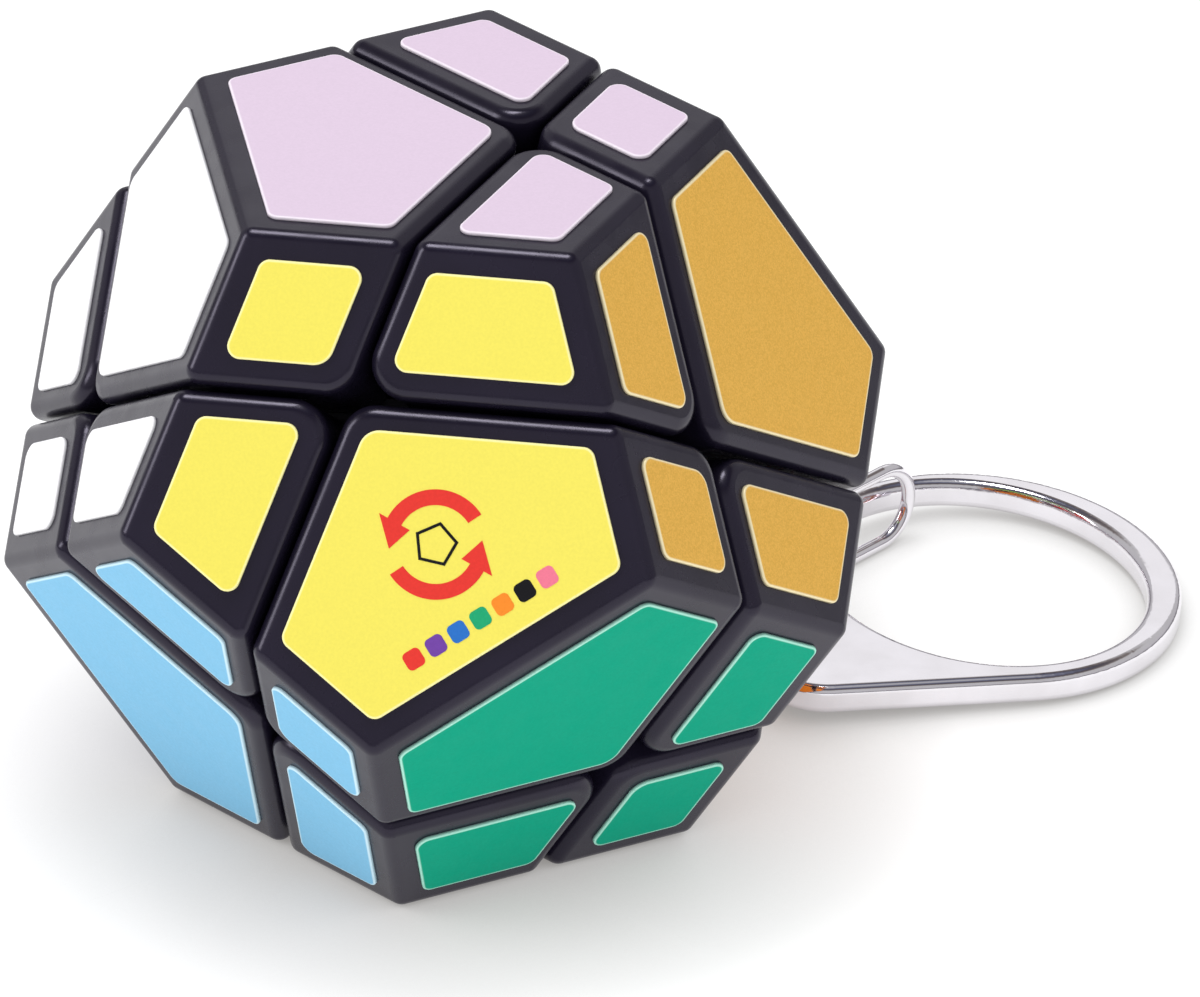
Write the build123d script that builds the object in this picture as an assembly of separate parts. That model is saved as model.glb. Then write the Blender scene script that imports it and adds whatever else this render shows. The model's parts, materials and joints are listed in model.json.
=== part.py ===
from build123d import *
import os
from itertools import combinations, product
from math import atan2, cos, hypot, pi, radians, sin, sqrt

import numpy as np

# A twelve-faced twisty puzzle with a screw eye, two chain links and a key ring.
#
# Four planes through the centre, square to four of a cube's diagonals, cut the body into fourteen
# pieces: four pivot corners, six edges and four loose corners. Each piece is named by the pivots
# (a, b, c, d) whose half of the body it belongs to: pivot corner "a", edge "ab", loose corner "bcd".
# Outside FOOT_OUTER the pieces meet on those planes. Inside it every plane is moved FOOT_REACH away
# from its pivot, so that the feet of each half reach under the other half, and no piece can fall out:
# a pivot corner is screwed to the core, holds down three edges, and they hold down the loose corners.
#
# Frame: millimetres, +Z up, the body standing on one of its faces. The origin is the centre of that
# face, and the front is towards -Y. The puzzle itself is made in the cube's frame, centred on the
# core, and then set down.

# Body
FACE_TO_FACE = 40.0  # between opposite plastic faces
CUT_GAP = 0.3  # between two neighbouring shells
WALL = 1.7  # of a shell, on every side
PLAN_ROUNDING = 2.0  # where two cuts cross
EDGE_ROUNDING = 0.8  # every other outer edge

# Mechanism, as distances from the centre
CORE_RADIUS = 8.75
FOOT_INNER = 9.0
FOOT_OUTER = 13.35
SHELL_INNER = 13.6
PLATE_OUTER = 15.0  # the plate of the foot that closes the shell from inside
PLATE_FIT = 0.1  # between that plate and the shell's walls
FOOT_REACH = 1.2  # how far past the cut plane the feet of one half reach under the other
FOOT_GAP = 0.24  # between two neighbouring feet

# Pivot screws, with their washers and springs
SCREW_TIP = 3.0
SCREW_RADIUS = 0.8
SCREW_HEAD = (19.05, 20.15, 1.6)  # from, to, radius
SCREW_SLOT = (0.45, 0.5)  # width, depth
CORE_HOLE = 0.85
STEM_BORE = 0.95
WASHER = (18.5, 18.9, 2.1)  # from, to, radius
SPRING = (15.45, 18.3, 1.55, 0.22)  # from, to, coil radius, wire radius
SPRING_TURNS = 4

# Stickers
STICKER_THICKNESS = 0.2
STICKER_BORDER = 1.45  # plastic left bare round each sticker
STICKER_CORNER = 0.7

# Screw eye in the outer corner of pivot corner a
EYE_BOSS = (20.9, 24.2, 1.8)  # from, to, radius
EYE_SHANK = (21.4, 25.1, 0.5)
EYE_COLLAR = (24.85, 25.3, 1.15)
EYE_CENTRE = 27.2
EYE_RADIUS = 1.8
EYE_WIRE = 0.42

# Chain links
LINK_1_LENGTH = 11.4  # outside, of the link that hangs from the eye
LINK_2_LENGTH = 13.0  # outside, of the link that holds the ring
LINK_WIDTH = 5.4  # outside
LINK_WIRE = 0.4  # radius
LINK_PLAY = 0.05  # between one link's wire and the next
LINK_2_HEADING = 55.0  # degrees from +X, of the link that stands on the table
LINK_2_REACH = 0.9  # from link 1's wire to the centre of link 2's near end

# Key ring: an eccentric flat ring with a broad rounded tip, lying on the table
RING_THICKNESS = 1.75
RING_ROUNDING = 0.5
RING_HOLE = ((27.05, 23.13), 10.34, 9.0)  # centre, long and short radius
RING_OUTLINE = ((27.2, 22.99), 11.79, 11.06)
RING_TIP = ((19.55, 11.7), 3.6)  # centre, radius
RING_LONG_AXIS = 131.0  # degrees from +X
RING_TILT = 2.5  # degrees: link 2 lifts the side that it holds

PHI = (1 + sqrt(5)) / 2
FACE_DISTANCE = FACE_TO_FACE / 2
CENTRE_HEIGHT = FACE_DISTANCE + STICKER_THICKNESS
FLOOR_OF_WEDGE = 7.0  # the wedges are cut off here, well inside the mechanism

FACE_NORMALS = [
    Vector(*v).normalized()
    for s, t in product((1, -1), repeat=2)
    for v in ((0, s * PHI, t), (s, 0, t * PHI), (s * PHI, t, 0))
]
PIVOTS = {
    "a": Vector(-1, -1, -1).normalized(),
    "b": Vector(-1, 1, 1).normalized(),
    "c": Vector(1, -1, 1).normalized(),
    "d": Vector(1, 1, -1).normalized(),
}
PIECES = ["".join(members) for size in (1, 2, 3) for members in combinations(PIVOTS, size)]
KINDS = {1: "pivot_corner", 2: "edge", 3: "loose_corner"}

# The standing body: the face that looks along -UP is on the table
UP = Vector(-1, 0, PHI).normalized()
FRONT_FACE = Vector(0, PHI, 1).normalized()
BACK = (UP * UP.dot(FRONT_FACE) - FRONT_FACE).normalized()
RIGHT = BACK.cross(UP)


def stand(shape):
    """Set a shape from the cube's frame down on the table."""
    cube_frame = Plane(origin=UP * -CENTRE_HEIGHT, x_dir=RIGHT, z_dir=UP)
    return cube_frame.location.inverse() * shape


def standing(direction):
    """A direction of the cube's frame, in the frame of the standing body."""
    return Vector(direction.dot(RIGHT), direction.dot(BACK), direction.dot(UP))


def along(direction, shape):
    """Turn a shape made along +Z to lie along a direction from the centre."""
    return Plane(origin=(0, 0, 0), z_dir=direction).location * shape


def rod(start, end, radius):
    """A cylinder on +Z between two distances from the centre."""
    return Pos(0, 0, start) * Cylinder(radius, end - start, align=(Align.CENTER, Align.CENTER, Align.MIN))


def middle_of(piece):
    """The direction from the centre through the middle of a piece."""
    return sum((PIVOTS[name] for name in piece), Vector(0, 0, 0)).normalized()


def convex_solid(half_spaces):
    """The solid that lies inside every (normal, distance) half-space."""
    normals = np.array([tuple(normal) for normal, _ in half_spaces])
    distances = np.array([distance for _, distance in half_spaces])
    corners = []
    for trio in combinations(range(len(half_spaces)), 3):
        rows = normals[list(trio)]
        if abs(np.linalg.det(rows)) < 1e-6:
            continue
        corner = np.linalg.solve(rows, distances[list(trio)])
        inside = (normals @ corner <= distances + 1e-7).all()
        if inside and all(np.linalg.norm(corner - other) > 1e-5 for other in corners):
            corners.append(corner)
    sides = []
    for normal, distance in zip(normals, distances):
        on_side = [corner for corner in corners if abs(normal @ corner - distance) < 1e-5]
        if len(on_side) < 3:
            continue
        centre = sum(on_side) / len(on_side)
        first = on_side[0] - centre
        second = np.cross(normal, first)
        on_side.sort(key=lambda corner: atan2((corner - centre) @ second, (corner - centre) @ first))
        sides.append(Face(Wire.make_polygon([tuple(corner) for corner in on_side])))
    return Solid(Shell(sides))


def cut_planes(piece, inset=0.0):
    """The half-spaces that the four cuts leave to a piece."""
    distance = -CUT_GAP / 2 - inset
    return [(-axis if name in piece else axis, distance) for name, axis in PIVOTS.items()]


def wedge(piece, inset=0.0):
    """A piece's whole share of the body, with every side moved in by inset."""
    faces = [(normal, FACE_DISTANCE - inset) for normal in FACE_NORMALS]
    floor = [(-middle_of(piece), -FLOOR_OF_WEDGE)]
    return convex_solid(faces + cut_planes(piece, inset) + floor)


def rounded_wedge(piece):
    """The same with its outer edges rounded."""
    middle = middle_of(piece)

    def lowest(edge):
        return min((edge @ 0).dot(middle), (edge @ 1).dot(middle))

    solid = wedge(piece)
    on_floor = FLOOR_OF_WEDGE + 0.01
    rising = [
        edge
        for edge in solid.edges()
        if lowest(edge) < on_floor and (edge @ 0.5).dot(middle) > on_floor
    ]
    solid = solid.fillet(PLAN_ROUNDING, rising)
    return solid.fillet(EDGE_ROUNDING, [edge for edge in solid.edges() if lowest(edge) > on_floor])


def shell(piece):
    """The hollow outer part of a piece, open towards the core."""
    solid = rounded_wedge(piece)
    body = solid - Sphere(SHELL_INNER) - wedge(piece, WALL)
    if piece == "a":
        body += along(PIVOTS["a"], rod(*EYE_BOSS)) & solid
        body -= along(PIVOTS["a"], rod(*EYE_SHANK))
    return body


def foot(piece):
    """The inner part of a piece: a plate in the shell, and a foot that reaches under the neighbours."""
    sides = [(normal, FACE_DISTANCE) for normal in FACE_NORMALS]
    for name, axis in PIVOTS.items():
        if name in piece:
            sides.append((-axis, FOOT_REACH - FOOT_GAP / 2))
        else:
            sides.append((axis, -FOOT_REACH - FOOT_GAP / 2))
    layer = convex_solid(sides) & (Sphere(FOOT_OUTER) - Sphere(FOOT_INNER))
    plate = wedge(piece, WALL + PLATE_FIT) & (Sphere(PLATE_OUTER) - Sphere(FOOT_OUTER - 0.2))
    body = layer + plate
    if len(piece) == 1:
        body -= along(PIVOTS[piece], rod(FOOT_INNER - 1, PLATE_OUTER + 1, STEM_BORE))
    return body


def stickers(piece):
    """The vinyl stickers of a piece, one on each face that the piece shows."""
    made = []
    for normal in FACE_NORMALS:
        sides = [(n, FACE_DISTANCE) for n in FACE_NORMALS if n.dot(normal) < 0.99] + cut_planes(piece)
        inset = [(n, d - STICKER_BORDER * sqrt(1 - n.dot(normal) ** 2)) for n, d in sides]
        ends = [(normal, FACE_DISTANCE), (-normal, 0.5 - FACE_DISTANCE)]
        try:
            block = convex_solid(inset + ends)
        except ValueError:
            continue
        tops = [f for f in block.faces() if f.normal_at().dot(normal) > 0.99]
        if not tops:
            continue
        outline = tops[0].fillet_2d(STICKER_CORNER, tops[0].vertices())
        made.append(extrude(outline, amount=STICKER_THICKNESS, dir=normal))
    return Compound(children=made)


def core():
    """The ball in the middle, with four screw holes and six pockets."""
    body = Sphere(CORE_RADIUS)
    for axis in PIVOTS.values():
        body -= along(axis, rod(SCREW_TIP - 0.2, CORE_RADIUS + 1, CORE_HOLE))
    for side in (Axis.X, Axis.Y, Axis.Z):
        for direction in (side.direction, -side.direction):
            body -= along(direction, rod(CORE_RADIUS - 3.2, CORE_RADIUS + 1, 2.6))
    return body


def screw():
    """A pivot screw with a cross in its head."""
    start, end, radius = SCREW_HEAD
    width, depth = SCREW_SLOT
    body = rod(SCREW_TIP, start + 0.1, SCREW_RADIUS) + rod(start, end, radius)
    arm = Pos(0, 0, end) * Box(1.3 * radius, width, 2 * depth)
    return body - arm - Rot(0, 0, 90) * arm


def washer():
    """A plain washer under the screw's head."""
    start, end, radius = WASHER
    return rod(start, end, radius) - rod(start - 1, end + 1, STEM_BORE)


def spring():
    """The compression spring between the washer and the plate of the foot."""
    start, end, radius, wire = SPRING
    height = end - start - 2 * wire
    path = Helix(pitch=height / SPRING_TURNS, height=height, radius=radius)
    section = Plane(origin=path @ 0, z_dir=path % 0) * Circle(wire)
    return Pos(0, 0, start + wire) * sweep(section, path=path, is_frenet=True)


def on_every_pivot(part):
    """Four of the same part, one on each pivot's axis."""
    return Compound(children=[along(axis, part) for axis in PIVOTS.values()])


# The chain is made in the frame of the standing body
EYE_AXIS = standing(PIVOTS["a"])
OUTWARD = Vector(EYE_AXIS.X, EYE_AXIS.Y, 0).normalized()
EYE_POINT = Vector(0, 0, CENTRE_HEIGHT) + EYE_AXIS * EYE_CENTRE
EYE_BOTTOM = EYE_POINT - Vector(0, 0, EYE_RADIUS)
LINK_1_TOP = EYE_BOTTOM + Vector(0, 0, EYE_WIRE + LINK_WIRE + LINK_PLAY)
LINK_1_BOTTOM = LINK_1_TOP - Vector(0, 0, LINK_1_LENGTH - 2 * LINK_WIRE)
LINK_2_DIRECTION = Vector(cos(radians(LINK_2_HEADING)), sin(radians(LINK_2_HEADING)), 0)


def screw_eye():
    """A screw eye whose loop stands upright and points away from the puzzle."""
    stem = along(EYE_AXIS, rod(*EYE_SHANK[:2], EYE_SHANK[2] - 0.05) + rod(*EYE_COLLAR))
    loop_plane = Plane(origin=EYE_POINT, z_dir=OUTWARD.cross(Vector(0, 0, 1)))
    return Pos(0, 0, CENTRE_HEIGHT) * stem + loop_plane.location * Torus(EYE_RADIUS, EYE_WIRE)


def link(length, plane):
    """A chain link: round wire along a stadium, long along the plane's X, starting at its origin."""
    reach = LINK_WIDTH / 2 - LINK_WIRE
    straight = length - LINK_WIDTH
    near = Rot(0, 0, 90) * Torus(reach, LINK_WIRE)
    half_box = Box(2 * LINK_WIDTH, 2 * LINK_WIDTH, LINK_WIDTH, align=(Align.MAX, Align.CENTER, Align.CENTER))
    end = near & half_box
    body = Pos(reach, 0, 0) * end + Pos(reach + straight, 0, 0) * Rot(0, 0, 180) * end
    for side in (-reach, reach):
        leg = Cylinder(LINK_WIRE, straight, align=(Align.CENTER, Align.CENTER, Align.MIN))
        body += Pos(reach, side, 0) * Rot(0, 90, 0) * leg
    return plane.location * body


def link_1():
    """The link that hangs from the eye, square to the eye's wire."""
    return link(LINK_1_LENGTH, Plane(origin=LINK_1_TOP, x_dir=(0, 0, -1), z_dir=OUTWARD))


def link_2():
    """The link that stands on the table, through link 1 and round the key ring."""
    near_centre = Vector(LINK_1_BOTTOM.X, LINK_1_BOTTOM.Y, LINK_WIDTH / 2) + LINK_2_DIRECTION * LINK_2_REACH
    start = near_centre - LINK_2_DIRECTION * (LINK_WIDTH / 2 - LINK_WIRE)
    across = LINK_2_DIRECTION.cross(Vector(0, 0, 1))
    return link(LINK_2_LENGTH, Plane(origin=start, x_dir=LINK_2_DIRECTION, z_dir=across))


def ellipse_face(centre, long_radius, short_radius):
    return Pos(*centre) * Rot(0, 0, RING_LONG_AXIS) * Face(Wire(Edge.make_ellipse(long_radius, short_radius)))


def support(angle, centre, long_radius, short_radius, turn):
    """How far an ellipse reaches in a direction, and the point where it does."""
    x, y = long_radius * cos(angle - turn), short_radius * sin(angle - turn)
    reach = hypot(x, y)
    u, v = long_radius * x / reach, short_radius * y / reach
    point = (centre[0] + u * cos(turn) - v * sin(turn), centre[1] + u * sin(turn) + v * cos(turn))
    return reach + centre[0] * cos(angle) + centre[1] * sin(angle), point


def common_tangents():
    """The points where the two lines that touch both the outline and the tip meet each of them."""
    turn = radians(RING_LONG_AXIS)
    tip_centre, tip_radius = RING_TIP
    to_tip = atan2(tip_centre[1] - RING_OUTLINE[0][1], tip_centre[0] - RING_OUTLINE[0][0])
    pairs = []
    for side in (-1, 1):
        low, high = 0.0, pi / 2
        while high - low > 1e-9:
            middle = (low + high) / 2
            angle = to_tip + side * middle
            tip_reach, tip_point = support(angle, tip_centre, tip_radius, tip_radius, 0)
            reach, point = support(angle, *RING_OUTLINE, turn)
            if tip_reach > reach:
                low = middle
            else:
                high = middle
        pairs.append((point, tip_point))
    return pairs


def key_ring():
    """The flat key ring, its edges rounded, one side lifted by link 2."""
    (outline_1, tip_1), (outline_2, tip_2) = common_tangents()
    neck = Face(Wire.make_polygon([(*point, 0) for point in (outline_1, tip_1, tip_2, outline_2)]))
    tip_centre, tip_radius = RING_TIP
    blank = ellipse_face(*RING_OUTLINE) + Pos(*tip_centre) * Circle(tip_radius) + neck
    body = extrude(blank, RING_THICKNESS, dir=(0, 0, 1)) - extrude(
        ellipse_face(*RING_HOLE), RING_THICKNESS, dir=(0, 0, 1)
    )
    flats = body.faces().filter_by(Axis.Z)
    body = fillet(flats.edges(), RING_ROUNDING)
    tilted = Rot(0, RING_TILT, 0) * body
    corner = tilted.bounding_box()
    level = body.bounding_box()
    return Pos(level.max.X - corner.max.X, 0, -corner.min.Z) * tilted


def write(name, shape):
    solids = shape.solids()
    whole = solids[0] if len(solids) == 1 else Compound(children=list(solids))
    export_step(whole, f"parts/{name}.step")


def main():
    os.makedirs("parts", exist_ok=True)
    for piece in PIECES:
        kind = KINDS[len(piece)]
        write(f"{kind}_{piece}_shell", stand(shell(piece)))
        write(f"{kind}_{piece}_foot", stand(foot(piece)))
        write(f"{kind}_{piece}_stickers", stand(stickers(piece)))
    write("core", stand(core()))
    write("pivot_screws", stand(on_every_pivot(screw())))
    write("pivot_washers", stand(on_every_pivot(washer())))
    write("pivot_springs", stand(on_every_pivot(spring())))
    write("screw_eye", screw_eye())
    write("chain_link_1", link_1())
    write("chain_link_2", link_2())
    write("key_ring", key_ring())


main()
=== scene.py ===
import json
from math import cos, pi, radians, sin, sqrt

import bmesh
import bpy
from mathutils import Matrix, Quaternion, Vector


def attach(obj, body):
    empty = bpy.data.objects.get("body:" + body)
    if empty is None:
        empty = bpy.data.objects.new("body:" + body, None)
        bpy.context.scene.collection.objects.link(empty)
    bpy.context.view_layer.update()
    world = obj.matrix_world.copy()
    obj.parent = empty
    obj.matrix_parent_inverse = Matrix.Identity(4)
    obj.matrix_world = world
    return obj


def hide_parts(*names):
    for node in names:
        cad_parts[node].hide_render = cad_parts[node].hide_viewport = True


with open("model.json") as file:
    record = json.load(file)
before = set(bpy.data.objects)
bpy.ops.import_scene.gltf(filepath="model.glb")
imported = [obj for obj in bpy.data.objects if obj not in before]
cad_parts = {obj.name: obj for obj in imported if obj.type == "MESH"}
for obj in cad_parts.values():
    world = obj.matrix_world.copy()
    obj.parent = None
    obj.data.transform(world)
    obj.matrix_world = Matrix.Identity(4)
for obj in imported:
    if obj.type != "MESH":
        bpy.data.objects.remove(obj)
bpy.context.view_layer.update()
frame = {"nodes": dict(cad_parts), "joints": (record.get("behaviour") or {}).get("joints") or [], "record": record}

MM = 0.001

# Places, from the frame
JOINTS = {joint["name"]: joint for joint in frame["joints"]}
CENTRE = Vector(JOINTS["twist_a"]["pos_m"])
FACE_HEIGHT = CENTRE.z  # from the centre to a sticker's outer surface: the puzzle stands on one
PIVOT_AXES = [Vector(JOINTS[f"twist_{pivot}"]["axis"]) for pivot in "abcd"]
BODY_OF = {
    name: body for body, names in frame["record"]["behaviour"]["bodies"].items() for name in names
}

# The twelve faces: their directions in the frame of a cube, turned as the puzzle stands
PHI = (1 + sqrt(5)) / 2
UP = Vector((-1, 0, PHI)).normalized()
FRONT = Vector((0, PHI, 1)).normalized()
BACK = (UP * UP.dot(FRONT) - FRONT).normalized()
STANDING = Matrix((BACK.cross(UP), BACK, UP))
FACES = {
    "lilac": (-1, 0, PHI),
    "yellow": (0, PHI, 1),
    "gold": (-PHI, 1, 0),
    "green": (0, PHI, -1),
    "light_blue": (PHI, 1, 0),
    "white": (1, 0, PHI),
    "red": (0, -PHI, -1),
    "orange": (-1, 0, -PHI),
    "dark_blue": (PHI, -1, 0),
    "purple": (0, -PHI, 1),
    "lime": (-PHI, -1, 0),
    "silver": (1, 0, -PHI),
}
FACES = {colour: (STANDING @ Vector(way)).normalized() for colour, way in FACES.items()}

# Stickers
STICKER_THICKNESS = 0.2 * MM
STICKER_CORNER = 0.7 * MM
CROSSING_CORNER = 1.15 * MM  # radius of an edge piece's corner where two cuts cross
CUT_SIDE_REACH = 2.0 * MM  # a side that runs along a cut is nearer to it than this
STICKER_BEVEL = 0.07 * MM
STICKER_RIM = 0.16 * MM  # the pale line round each sticker, where its cut edge shows
CORNER_STEPS = 14
BEVEL_STEPS = 3
SHORTEST_SIDE = 0.9 * MM  # outline points further apart than this are joined by a straight side
SAME_PLACE = 0.01 * MM  # points at heights this close are on the same face

# Print on the large yellow sticker: two curved arrows round a pentagon, and a row of squares
PRINT_THICKNESS = 0.02 * MM
PRINT_SINK = 0.01 * MM  # how deep the ink starts below the vinyl's surface
EMBLEM_LIFT = 1.1 * MM  # from the middle of the sticker, away from the row
ARROW_STARTS = (10.0, 190.0)  # degrees
ARROW_RADIUS = 2.55 * MM
ARROW_WIDTH = 0.85 * MM
ARROW_SWEEP = 118.0  # degrees, without the head
ARROW_HEAD = (1.9 * MM, 34.0)  # width, degrees
ARROW_STEPS = 30
PENTAGON_RADIUS = 1.25 * MM
PENTAGON_LINE = 0.2 * MM
SQUARE_SIZE = 1.05 * MM
SQUARE_CORNER = 0.28 * MM
SQUARE_CORNER_STEPS = 6
SQUARE_PITCH = 1.42 * MM
ROW_INSET = 1.75 * MM  # from the sticker's side to the middle of the row

# Camera: angles in degrees, distance in metres, lens and sensor in millimetres of film
CAMERA_AZIMUTH = 8.5
CAMERA_ELEVATION = 29.7
CAMERA_ROLL = 0.48
CAMERA_DISTANCE = 0.8474
CAMERA_AIM = Vector((8.61, 0.14, -2.0)) * MM  # from the puzzle's centre
LENS = 461.6
SENSOR = 36.0

# Floor
FLOOR_SIZE = 6  # metres
FLOOR_PAINTED_SHADOW_REACH = 15 * MM  # how near a thing must be for the painted shadow to darken the floor
FLOOR_COLOURS = ((0.17, 0.17, 0.17), (0.19, 0.19, 0.19))
FLOOR_GLOW_AND_PAINTED_SHADOW = ((0.24, 0.23, 0.22), (1.0, 1.0, 1.0))  # painted shadow below something close, and the even glow in the open

# Area lights, all aimed at the puzzle's centre: place, size, power
LIGHTS = {
    "overhead": ((-0.12, 0.10, 0.9), (0.34, 0.26), 3.7),
    "left": ((-0.75, -0.25, 0.45), (0.30, 0.45), 2.7),
    "back_panel": ((-0.16, 1.05, 0.62), (0.9, 0.34), 0.42),
    "front_fill": ((0.35, -0.85, 0.35), (0.42, 0.30), 2.9),
}

# Sky, from the horizon to the zenith: the sine of the elevation, colour
SKY_STRENGTH = 0.49
SKY = (
    (0.02, (0.30, 0.28, 0.30)),
    (0.12, (0.62, 0.60, 0.64)),
    (0.22, (1.12, 1.10, 1.14)),
    (0.66, (1.14, 1.13, 1.14)),
    (0.74, (0.40, 0.34, 0.32)),
    (0.84, (0.16, 0.15, 0.19)),
    (0.93, (0.34, 0.36, 0.50)),
    (0.97, (0.95, 0.95, 1.00)),
)


# ---- Materials ----------------------------------------------------------------------------------

def material(name, **sockets):
    """A new material, with the values that are the same all over it."""
    made = bpy.data.materials.new(name)
    made.use_nodes = True
    shader = made.node_tree.nodes["Principled BSDF"]
    for socket, value in sockets.items():
        shader.inputs[socket.replace("_", " ")].default_value = value
    return made


def node(tree, kind, inputs=None, **settings):
    """A node, with its inputs linked to sockets or set to values."""
    made = tree.nodes.new(kind)
    for name, value in settings.items():
        setattr(made, name, value)
    for socket, value in (inputs or {}).items():
        if isinstance(value, bpy.types.NodeSocket):
            tree.links.new(value, made.inputs[socket])
        else:
            made.inputs[socket].default_value = value
    return made


def noise(tree, size, detail=3.0, stretch=(1, 1, 1)):
    """Noise with features about size metres across. A stretch above 1 is finer along that axis."""
    place = node(tree, "ShaderNodeTexCoord").outputs["Object"]
    mapped = node(tree, "ShaderNodeMapping", {"Vector": place, "Scale": stretch}).outputs["Vector"]
    return node(
        tree, "ShaderNodeTexNoise", {"Vector": mapped, "Scale": 1 / size, "Detail": detail}
    ).outputs["Fac"]


def spread(tree, value, low, high):
    """Stretches the middle of a noise over low to high."""
    return node(
        tree,
        "ShaderNodeMapRange",
        {"Value": value, "From Min": 0.3, "From Max": 0.7, "To Min": low, "To Max": high},
    ).outputs["Result"]


def blend_colours(tree, factor, first, second):
    """The first colour where the factor is 0, and the second where it is 1."""
    mix = node(tree, "ShaderNodeMix", data_type="RGBA")
    for socket, value in zip((0, 6, 7), (factor, first, second)):
        if isinstance(value, bpy.types.NodeSocket):
            tree.links.new(value, mix.inputs[socket])
        else:
            mix.inputs[socket].default_value = value if socket == 0 else (*value, 1)
    return mix.outputs[2]


def bump(tree, height, strength, distance, under=None):
    """A bumped normal, on top of another one or of the surface's own."""
    inputs = {"Height": height, "Strength": strength, "Distance": distance}
    if under is not None:
        inputs["Normal"] = under
    return node(tree, "ShaderNodeBump", inputs).outputs["Normal"]


def finish_with(made, colour=None, roughness=None, normal=None):
    """Links what varies over the surface to the shader."""
    tree = made.node_tree
    shader = tree.nodes["Principled BSDF"]
    for socket, value in (("Base Color", colour), ("Roughness", roughness), ("Normal", normal)):
        if value is not None:
            tree.links.new(value, shader.inputs[socket])
    return made


def moulded_plastic(name, dark, light, gloss, shine):
    """Moulded plastic: faint flow marks in the colour, a fine eroded grain and hazy patches."""
    made = material(name, IOR=1.5, Specular_IOR_Level=shine, Specular_Tint=(0.86, 0.80, 1.0, 1))
    tree = made.node_tree
    colour = blend_colours(tree, spread(tree, noise(tree, 6 * MM), 0, 1), dark, light)
    haze = noise(tree, 2.2 * MM, 5)
    roughness = spread(tree, haze, gloss, gloss + 0.1)
    sink = bump(tree, noise(tree, 5 * MM, 1), 0.5, 0.01 * MM)
    grain = bump(tree, noise(tree, 0.11 * MM, 2), 0.35, 0.004 * MM, sink)
    return finish_with(made, colour, roughness, grain)


def vinyl(name, colour, rim_colour, grain=0.04):
    """Printed vinyl: a paper-fine mottle, a slight orange peel, and a paler cut edge."""
    made = material(name, IOR=1.46, Specular_IOR_Level=0.05)
    tree = made.node_tree
    darker = tuple(c * (1 - grain) for c in colour)
    lighter = tuple(min(1.0, c * (1 + grain)) for c in colour)
    mottle = blend_colours(tree, spread(tree, noise(tree, 0.16 * MM, 2), 0, 1), darker, lighter)
    rim = node(tree, "ShaderNodeAttribute", attribute_name="rim").outputs["Fac"]
    roughness = spread(tree, noise(tree, 1.4 * MM, 4), 0.36, 0.5)
    peel = bump(tree, noise(tree, 0.35 * MM, 2), 0.4, 0.003 * MM)
    return finish_with(made, blend_colours(tree, rim, mottle, rim_colour), roughness, peel)


def metallic_vinyl(name, dark, light, rim_colour):
    """Metallic vinyl: a fine flake that sparkles a little in the print."""
    made = material(name, Metallic=0.3, IOR=1.46, Specular_IOR_Level=0.15)
    tree = made.node_tree
    place = node(tree, "ShaderNodeTexCoord").outputs["Object"]
    flakes = node(tree, "ShaderNodeTexVoronoi", {"Vector": place, "Scale": 1 / (0.08 * MM)})
    split = node(tree, "ShaderNodeSeparateColor", {"Color": flakes.outputs["Color"]})
    sparkle = split.outputs["Red"]
    colour = blend_colours(tree, sparkle, dark, light)
    rim = node(tree, "ShaderNodeAttribute", attribute_name="rim").outputs["Fac"]
    roughness = spread(tree, noise(tree, 0.8 * MM, 4), 0.38, 0.5)
    facets = bump(tree, sparkle, 0.2, 0.003 * MM)
    return finish_with(made, blend_colours(tree, rim, colour, rim_colour), roughness, facets)


def plated_metal(name, dark, light, gloss):
    """Polished plating: faint polishing lines, and the slow waves of the casting below."""
    made = material(name, Metallic=1.0)
    tree = made.node_tree
    colour = blend_colours(tree, spread(tree, noise(tree, 3 * MM, 4), 0, 1), dark, light)
    lines = noise(tree, 0.5 * MM, 3, (1, 7, 3))
    roughness = spread(tree, lines, gloss, gloss + 0.08)
    waves = bump(tree, noise(tree, 4 * MM, 1), 0.6, 0.03 * MM)
    return finish_with(made, colour, roughness, bump(tree, lines, 0.2, 0.002 * MM, waves))


def turned_steel(name, dark, light):
    """Turned steel, with fine tool marks."""
    made = material(name, Metallic=1.0)
    tree = made.node_tree
    marks = noise(tree, 0.25 * MM, 3, (1, 1, 6))
    colour = blend_colours(tree, marks, dark, light)
    roughness = spread(tree, marks, 0.22, 0.4)
    return finish_with(made, colour, roughness, bump(tree, marks, 0.3, 0.006 * MM))


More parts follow.
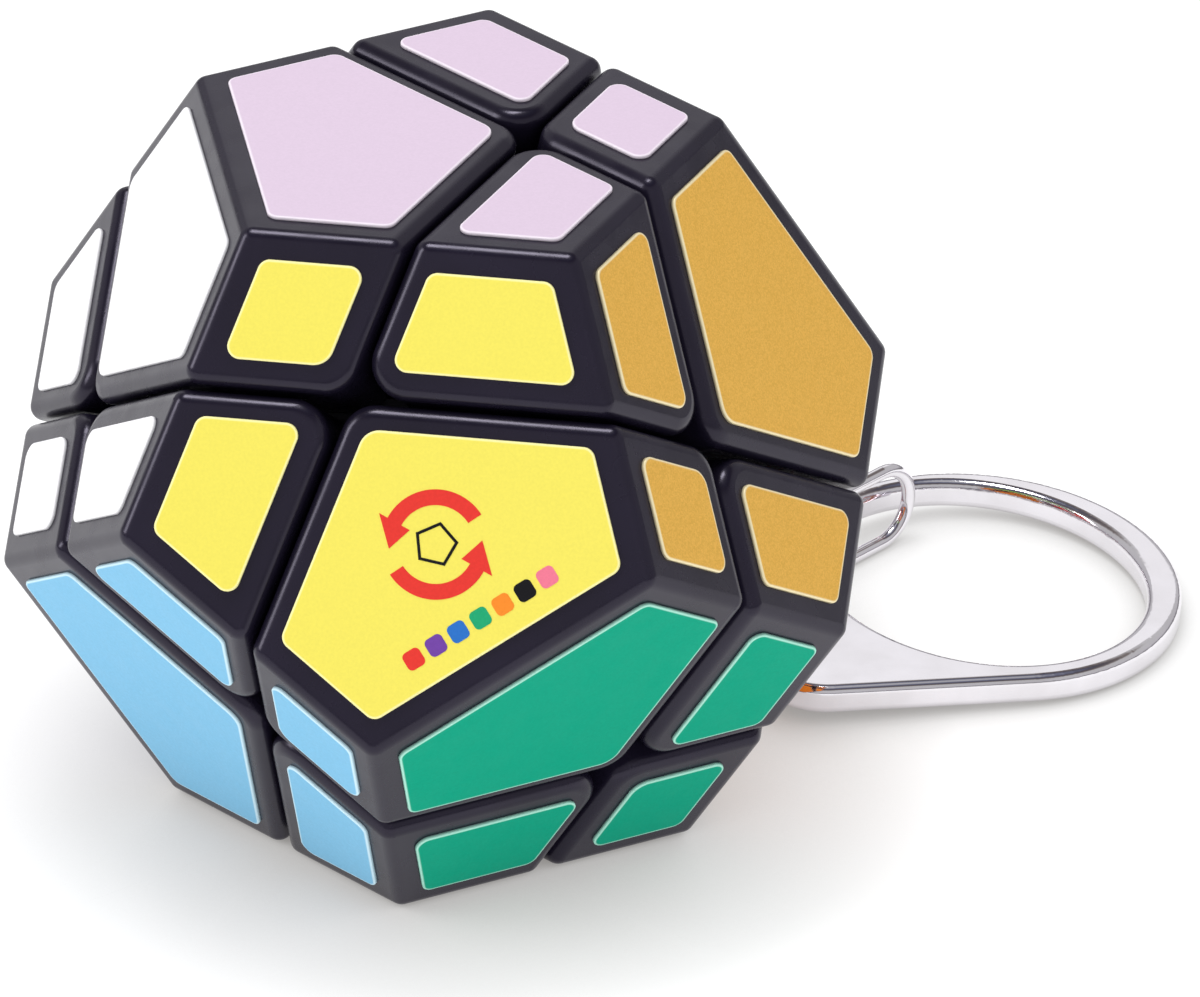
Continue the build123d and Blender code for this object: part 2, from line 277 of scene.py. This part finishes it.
SHELL_PLASTIC = moulded_plastic(
    "shell_plastic", (0.0070, 0.0056, 0.0125), (0.010, 0.008, 0.018), 0.21, 0.42
)
FOOT_PLASTIC = moulded_plastic(
    "foot_plastic", (0.014, 0.014, 0.016), (0.022, 0.022, 0.025), 0.38, 0.3
)
CORE_NYLON = moulded_plastic("core_nylon", (0.62, 0.62, 0.59), (0.72, 0.72, 0.69), 0.42, 0.4)
SCREW_STEEL = turned_steel("screw_steel", (0.42, 0.42, 0.44), (0.66, 0.66, 0.67))
NICKEL_PLATE = plated_metal("nickel_plate", (0.78, 0.76, 0.79), (0.86, 0.84, 0.88), 0.06)
VINYLS = {
    "yellow": vinyl("vinyl_yellow", (0.83, 0.735, 0.118), (0.93, 0.88, 0.40), 0.025),
    "lilac": vinyl("vinyl_lilac", (0.745, 0.61, 0.745), (0.90, 0.82, 0.90), 0.02),
    "green": vinyl("vinyl_green", (0.0, 0.345, 0.21), (0.42, 0.80, 0.66)),
    "light_blue": vinyl("vinyl_light_blue", (0.225, 0.535, 0.775), (0.62, 0.85, 0.95)),
    "white": vinyl("vinyl_white", (0.95, 0.95, 0.955), (0.97, 0.97, 0.98), 0.01),
    "red": vinyl("vinyl_red", (0.66, 0.035, 0.03), (0.93, 0.45, 0.42)),
    "orange": vinyl("vinyl_orange", (0.86, 0.23, 0.02), (0.97, 0.66, 0.38)),
    "dark_blue": vinyl("vinyl_dark_blue", (0.02, 0.07, 0.38), (0.36, 0.48, 0.84)),
    "purple": vinyl("vinyl_purple", (0.17, 0.045, 0.33), (0.60, 0.46, 0.80)),
    "lime": vinyl("vinyl_lime", (0.32, 0.64, 0.05), (0.74, 0.92, 0.45)),
    "gold": metallic_vinyl(
        "vinyl_gold", (0.76, 0.425, 0.066), (0.89, 0.52, 0.098), (0.98, 0.86, 0.54)
    ),
    "silver": metallic_vinyl(
        "vinyl_silver", (0.44, 0.45, 0.47), (0.56, 0.57, 0.59), (0.86, 0.87, 0.88)
    ),
}
INKS = {
    "red": (0.72, 0.045, 0.035),
    "black": (0.012, 0.012, 0.014),
    "orange": (0.86, 0.25, 0.03),
    "blue": (0.03, 0.16, 0.52),
    "green": (0.02, 0.36, 0.16),
    "pink": (0.80, 0.19, 0.28),
    "purple": (0.16, 0.06, 0.34),
}
INKS = {name: vinyl(f"ink_{name}", colour, colour) for name, colour in INKS.items()}
SQUARE_INKS = ("red", "purple", "blue", "green", "orange", "black", "pink")


def paint(obj, made):
    """Gives an object one material."""
    obj.data.materials.clear()
    obj.data.materials.append(made)


def paint_cad_nodes():
    """Gives the CAD nodes their materials. The stickers among them are replaced later."""
    for name, obj in frame["nodes"].items():
        if name.endswith("_shell"):
            paint(obj, SHELL_PLASTIC)
        elif name.endswith("_foot"):
            paint(obj, FOOT_PLASTIC)
        elif name == "core":
            paint(obj, CORE_NYLON)
        elif name.startswith("pivot_"):
            paint(obj, SCREW_STEEL)
        else:
            paint(obj, NICKEL_PLATE)


# ---- Stickers -----------------------------------------------------------------------------------

def turned(radius, angle):
    """A point at a radius and an angle in degrees."""
    return Vector((radius * cos(radians(angle)), radius * sin(radians(angle))))


def meeting_point(first, second, inset=0.0):
    """Where two sides of an outline meet, each moved in by inset."""
    rows = Matrix((first[0], second[0]))
    return rows.inverted() @ Vector((first[1] - inset, second[1] - inset))


class Outline:
    """A convex outline with rounded corners, on a face of the puzzle."""

    def __init__(self, points, normal, crossing_radius):
        """From points on it, in any order. A side is a direction outwards and a reach along it."""
        self.normal = normal
        self.middle = sum(points, Vector()) / len(points)
        self.across = (points[0] - self.middle).normalized()
        self.up = normal.cross(self.across)
        flat = [self.flatten(point) for point in points]
        flat.sort(key=lambda point: Vector((1, 0)).angle_signed(point))
        flat.reverse()  # now counter-clockwise
        self.sides = []
        cuts = []
        for start, end in zip(flat, flat[1:] + flat[:1]):
            if (end - start).length > SHORTEST_SIDE:
                outward = Vector((end.y - start.y, start.x - end.x)).normalized()
                self.sides.append((outward, outward.dot(start)))
                cuts.append(self.is_beside_cut(start, end))
        self.radii = [
            crossing_radius if before and after else STICKER_CORNER
            for before, after in zip(cuts[-1:] + cuts[:-1], cuts)
        ]

    def is_beside_cut(self, start, end):
        """Whether the side from start to end runs along one of the four cuts."""
        offsets = [self.middle - CENTRE + self.across * p.x + self.up * p.y for p in (start, end)]
        return any(
            all(abs(offset.dot(axis)) < CUT_SIDE_REACH for offset in offsets)
            for axis in PIVOT_AXES
        )

    def flatten(self, point):
        """The point's place in the outline's plane, from its middle."""
        offset = point - self.middle
        return Vector((offset.dot(self.across), offset.dot(self.up)))

    def at_inset(self, inset):
        """The outline moved in by inset: an arc round the same centre in each corner."""
        made = []
        before = self.sides[-1:] + self.sides[:-1]
        for side, next_side, radius in zip(before, self.sides, self.radii):
            centre = meeting_point(side, next_side, radius)
            way = side[0]
            turn = way.angle(next_side[0])
            for step in range(CORNER_STEPS + 1):
                angle = turn * step / CORNER_STEPS
                spoke = Matrix.Rotation(angle, 2) @ way
                made.append(centre + spoke * (radius - inset))
        return made

    def area(self):
        """The area that the outline goes round."""
        points = self.at_inset(0)
        return sum(a.x * b.y - a.y * b.x for a, b in zip(points, points[1:] + points[:1])) / 2

    def lower_right_side(self):
        """The outward direction and the middle of the side that faces right and down the most."""

        def fall(index):
            way = self.sides[index][0]
            return (self.across * way.x + self.up * way.y).dot(Vector((1, 0, -1)))

        index = max(range(len(self.sides)), key=fall)
        before, side, after = (self.sides[(index + step) % len(self.sides)] for step in (-1, 0, 1))
        return side[0], (meeting_point(before, side) + meeting_point(side, after)) / 2

    def place(self, point, height):
        """A point of the outline's plane, at a height above the plastic."""
        level = self.normal * (FACE_HEIGHT - STICKER_THICKNESS + height)
        in_plane = self.middle - CENTRE
        in_plane -= self.normal * in_plane.dot(self.normal)
        return CENTRE + level + in_plane + self.across * point.x + self.up * point.y


def outline_on(cad_node, normal):
    """The outline of the sticker that a node has on a face, or None."""
    top = [
        v.co.copy()
        for v in frame["nodes"][cad_node].data.vertices
        if (v.co - CENTRE).dot(normal) > FACE_HEIGHT - SAME_PLACE
    ]
    crossing_radius = CROSSING_CORNER if cad_node.startswith("edge_") else STICKER_CORNER
    return Outline(top, normal, crossing_radius) if top else None


def loops_to_mesh(name, loops, rims, made_of, ring=False):
    """A closed solid from matching loops: the end ones capped, or joined if it is a ring."""
    mesh = bpy.data.meshes.new(name)
    form = bmesh.new()
    layer = form.verts.layers.float.new("rim")
    rows = []
    for loop, rim in zip(loops, rims):
        row = [form.verts.new(point) for point in loop]
        for vert in row:
            vert[layer] = rim
        rows.append(row)
    if ring:
        rows.append(rows[0])
    else:
        form.faces.new(list(reversed(rows[0])))
        form.faces.new(rows[-1])
    for low, high in zip(rows, rows[1:]):
        for i in range(len(low)):
            j = (i + 1) % len(low)
            side = form.faces.new((low[i], low[j], high[j], high[i]))
            side.smooth = True
    form.to_mesh(mesh)
    form.free()
    obj = bpy.data.objects.new(name, mesh)
    bpy.context.scene.collection.objects.link(obj)
    paint(obj, made_of)
    return obj


def sticker(name, outline, made_of):
    """A vinyl sticker: a straight cut edge, a rounded top rim and a flat top."""
    profile = [(0, 0, 1), (0, STICKER_THICKNESS - STICKER_BEVEL, 1)]
    for step in range(1, BEVEL_STEPS + 1):
        angle = pi / 2 * step / BEVEL_STEPS
        inset = STICKER_BEVEL * (1 - cos(angle))
        profile.append((inset, STICKER_THICKNESS - STICKER_BEVEL * (1 - sin(angle)), 1))
    profile.append((STICKER_RIM, STICKER_THICKNESS, 0))
    loops = [
        [outline.place(p, height) for p in outline.at_inset(inset)] for inset, height, _ in profile
    ]
    return loops_to_mesh(name, loops, [rim for _, _, rim in profile], made_of)


def keep_with(cad_node, obj):
    """Puts a visual piece of a sticker in place of its CAD node, on the same body."""
    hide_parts(cad_node)
    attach(obj, BODY_OF[cad_node])


def make_stickers():
    """Every sticker, and their outlines by colour and piece."""
    outlines = {}
    for cad_node in [name for name in frame["nodes"] if name.endswith("_stickers")]:
        piece = cad_node.removesuffix("_stickers")
        for colour, normal in FACES.items():
            outline = outline_on(cad_node, normal)
            if outline is None:
                continue
            keep_with(cad_node, sticker(f"sticker_{colour}_{piece}", outline, VINYLS[colour]))
            outlines[colour, piece] = outline
    return outlines


# ---- Print on the large yellow sticker ----------------------------------------------------------

def arrow_outline(start):
    """A band bent round the origin, from an angle in degrees, that ends in an arrow head."""
    head_width, head_sweep = ARROW_HEAD
    end = start + ARROW_SWEEP
    angles = [start + ARROW_SWEEP * step / ARROW_STEPS for step in range(ARROW_STEPS + 1)]
    outer = [turned(ARROW_RADIUS + ARROW_WIDTH / 2, angle) for angle in angles]
    inner = [turned(ARROW_RADIUS - ARROW_WIDTH / 2, angle) for angle in reversed(angles)]
    head = [
        turned(ARROW_RADIUS + head_width / 2, end),
        turned(ARROW_RADIUS, end + head_sweep),
        turned(ARROW_RADIUS - head_width / 2, end),
    ]
    return outer + head + inner


def square_outline(centre, way):
    """A square with rounded corners, two of its sides along a direction."""
    side = Vector((-way.y, way.x))
    straight = SQUARE_SIZE / 2 - SQUARE_CORNER
    made = []
    for quarter, (x, y) in enumerate(((1, 1), (-1, 1), (-1, -1), (1, -1))):
        for step in range(SQUARE_CORNER_STEPS + 1):
            spoke = turned(SQUARE_CORNER, 90 * (quarter + step / SQUARE_CORNER_STEPS))
            made.append(centre + way * (x * straight + spoke.x) + side * (y * straight + spoke.y))
    return made


def print_ink(name, outline, cad_node, made_of, points, inner=None):
    """A thin layer of ink on a sticker, inside a loop of points, or between two loops."""
    low, high = STICKER_THICKNESS - PRINT_SINK, STICKER_THICKNESS + PRINT_THICKNESS
    loops = [[outline.place(p, level) for p in points] for level in (low, high)]
    if inner:
        loops += [[outline.place(p, level) for p in inner] for level in (high, low)]
    keep_with(cad_node, loops_to_mesh(name, loops, [0] * len(loops), made_of, ring=bool(inner)))


def print_emblem(outline, cad_node):
    """The emblem in the middle of a sticker, and a row of squares along its lower right side."""
    way, side_middle = outline.lower_right_side()
    along = Vector((-way.y, way.x))
    row_middle = side_middle - way * ROW_INSET
    for place, colour in enumerate(SQUARE_INKS):
        centre = row_middle + along * (place - (len(SQUARE_INKS) - 1) / 2) * SQUARE_PITCH
        points = square_outline(centre, along)
        print_ink(f"print_square_{place + 1}", outline, cad_node, INKS[colour], points)

    middle = -way * EMBLEM_LIFT
    for number, start in enumerate(ARROW_STARTS):
        points = [middle + point for point in arrow_outline(start)]
        print_ink(f"print_arrow_{number + 1}", outline, cad_node, INKS["red"], points)
    outer, inner = (
        [middle + turned(radius, 90 + 72 * corner) for corner in range(5)]
        for radius in (PENTAGON_RADIUS, PENTAGON_RADIUS - PENTAGON_LINE)
    )
    print_ink("print_pentagon", outline, cad_node, INKS["black"], outer, inner)


# ---- Stage --------------------------------------------------------------------------------------

def make_floor():
    """A white floor that glows evenly, with a painted shadow: it glows less where something stands close above it.
    """
    bpy.ops.mesh.primitive_plane_add(size=FLOOR_SIZE, location=(0, 0, 0))
    floor = bpy.context.object
    floor.name = "floor"
    paper = material("floor_paper", Roughness=0.9, Specular_IOR_Level=0.0, Emission_Strength=1.0)
    tree = paper.node_tree
    # Painted shadow: ambient occlusion dims the floor's glow where something stands close above it
    painted_shadow = node(tree, "ShaderNodeAmbientOcclusion", {"Distance": FLOOR_PAINTED_SHADOW_REACH})
    glow_with_painted_shadow = blend_colours(tree, painted_shadow.outputs["AO"], *FLOOR_GLOW_AND_PAINTED_SHADOW)
    tree.links.new(glow_with_painted_shadow, tree.nodes["Principled BSDF"].inputs["Emission Color"])
    finish_with(paper, blend_colours(tree, noise(tree, 40 * MM, 2), *FLOOR_COLOURS))
    paint(floor, paper)


def make_area_light(name, place, size, power):
    """A rectangular light that faces the puzzle's centre."""
    light = bpy.data.lights.new(name, "AREA")
    light.shape = "RECTANGLE"
    light.size, light.size_y = size
    light.energy = power
    obj = bpy.data.objects.new(name, light)
    bpy.context.scene.collection.objects.link(obj)
    obj.location = place
    obj.rotation_mode = "QUATERNION"
    obj.rotation_quaternion = (CENTRE - obj.location).to_track_quat("-Z", "Y")
    return obj


def make_lights():
    """The sky, which shows in the plastic and the metal, and the area lights."""
    world = bpy.data.worlds.new("studio")
    bpy.context.scene.world = world
    world.use_nodes = True
    tree = world.node_tree
    way = node(tree, "ShaderNodeTexCoord").outputs["Generated"]
    height = node(tree, "ShaderNodeSeparateXYZ", {"Vector": way}).outputs["Z"]
    sky = node(tree, "ShaderNodeValToRGB", {"Fac": height})
    sky.color_ramp.elements.remove(sky.color_ramp.elements[1])  # the white one of its first two
    for place, colour in SKY:
        band = sky.color_ramp.elements.new(place)
        band.color = (*colour, 1)
    background = tree.nodes["Background"]
    tree.links.new(sky.outputs["Color"], background.inputs["Color"])
    background.inputs["Strength"].default_value = SKY_STRENGTH
    lights = {name: make_area_light(name, *how) for name, how in LIGHTS.items()}
    lights["front_fill"].visible_glossy = False  # its reflection whitens the top, seen from behind


def make_camera():
    """The camera, where the photo was taken from."""
    data = bpy.data.cameras.new("camera")
    data.lens = LENS
    data.sensor_width = SENSOR
    data.clip_start, data.clip_end = 0.05, 20
    camera = bpy.data.objects.new("camera", data)
    bpy.context.scene.collection.objects.link(camera)
    azimuth, elevation = radians(CAMERA_AZIMUTH), radians(CAMERA_ELEVATION)
    level_part = Vector((sin(azimuth), -cos(azimuth), 0)) * cos(elevation)
    to_camera = level_part + Vector((0, 0, sin(elevation)))
    camera.location = CENTRE + CAMERA_AIM + to_camera * CAMERA_DISTANCE
    camera.rotation_mode = "QUATERNION"
    level = (-to_camera).to_track_quat("-Z", "Y")
    camera.rotation_quaternion = level @ Quaternion((0, 0, 1), radians(CAMERA_ROLL))
    bpy.context.scene.camera = camera


# ---- The scene ----------------------------------------------------------------------------------

paint_cad_nodes()
OUTLINES = make_stickers()
YELLOW = {piece: outline for (colour, piece), outline in OUTLINES.items() if colour == "yellow"}
LARGEST = max(YELLOW, key=lambda piece: YELLOW[piece].area())
print_emblem(YELLOW[LARGEST], f"{LARGEST}_stickers")
make_floor()
make_lights()
make_camera()
bpy.context.scene.view_settings.view_transform = "Standard"
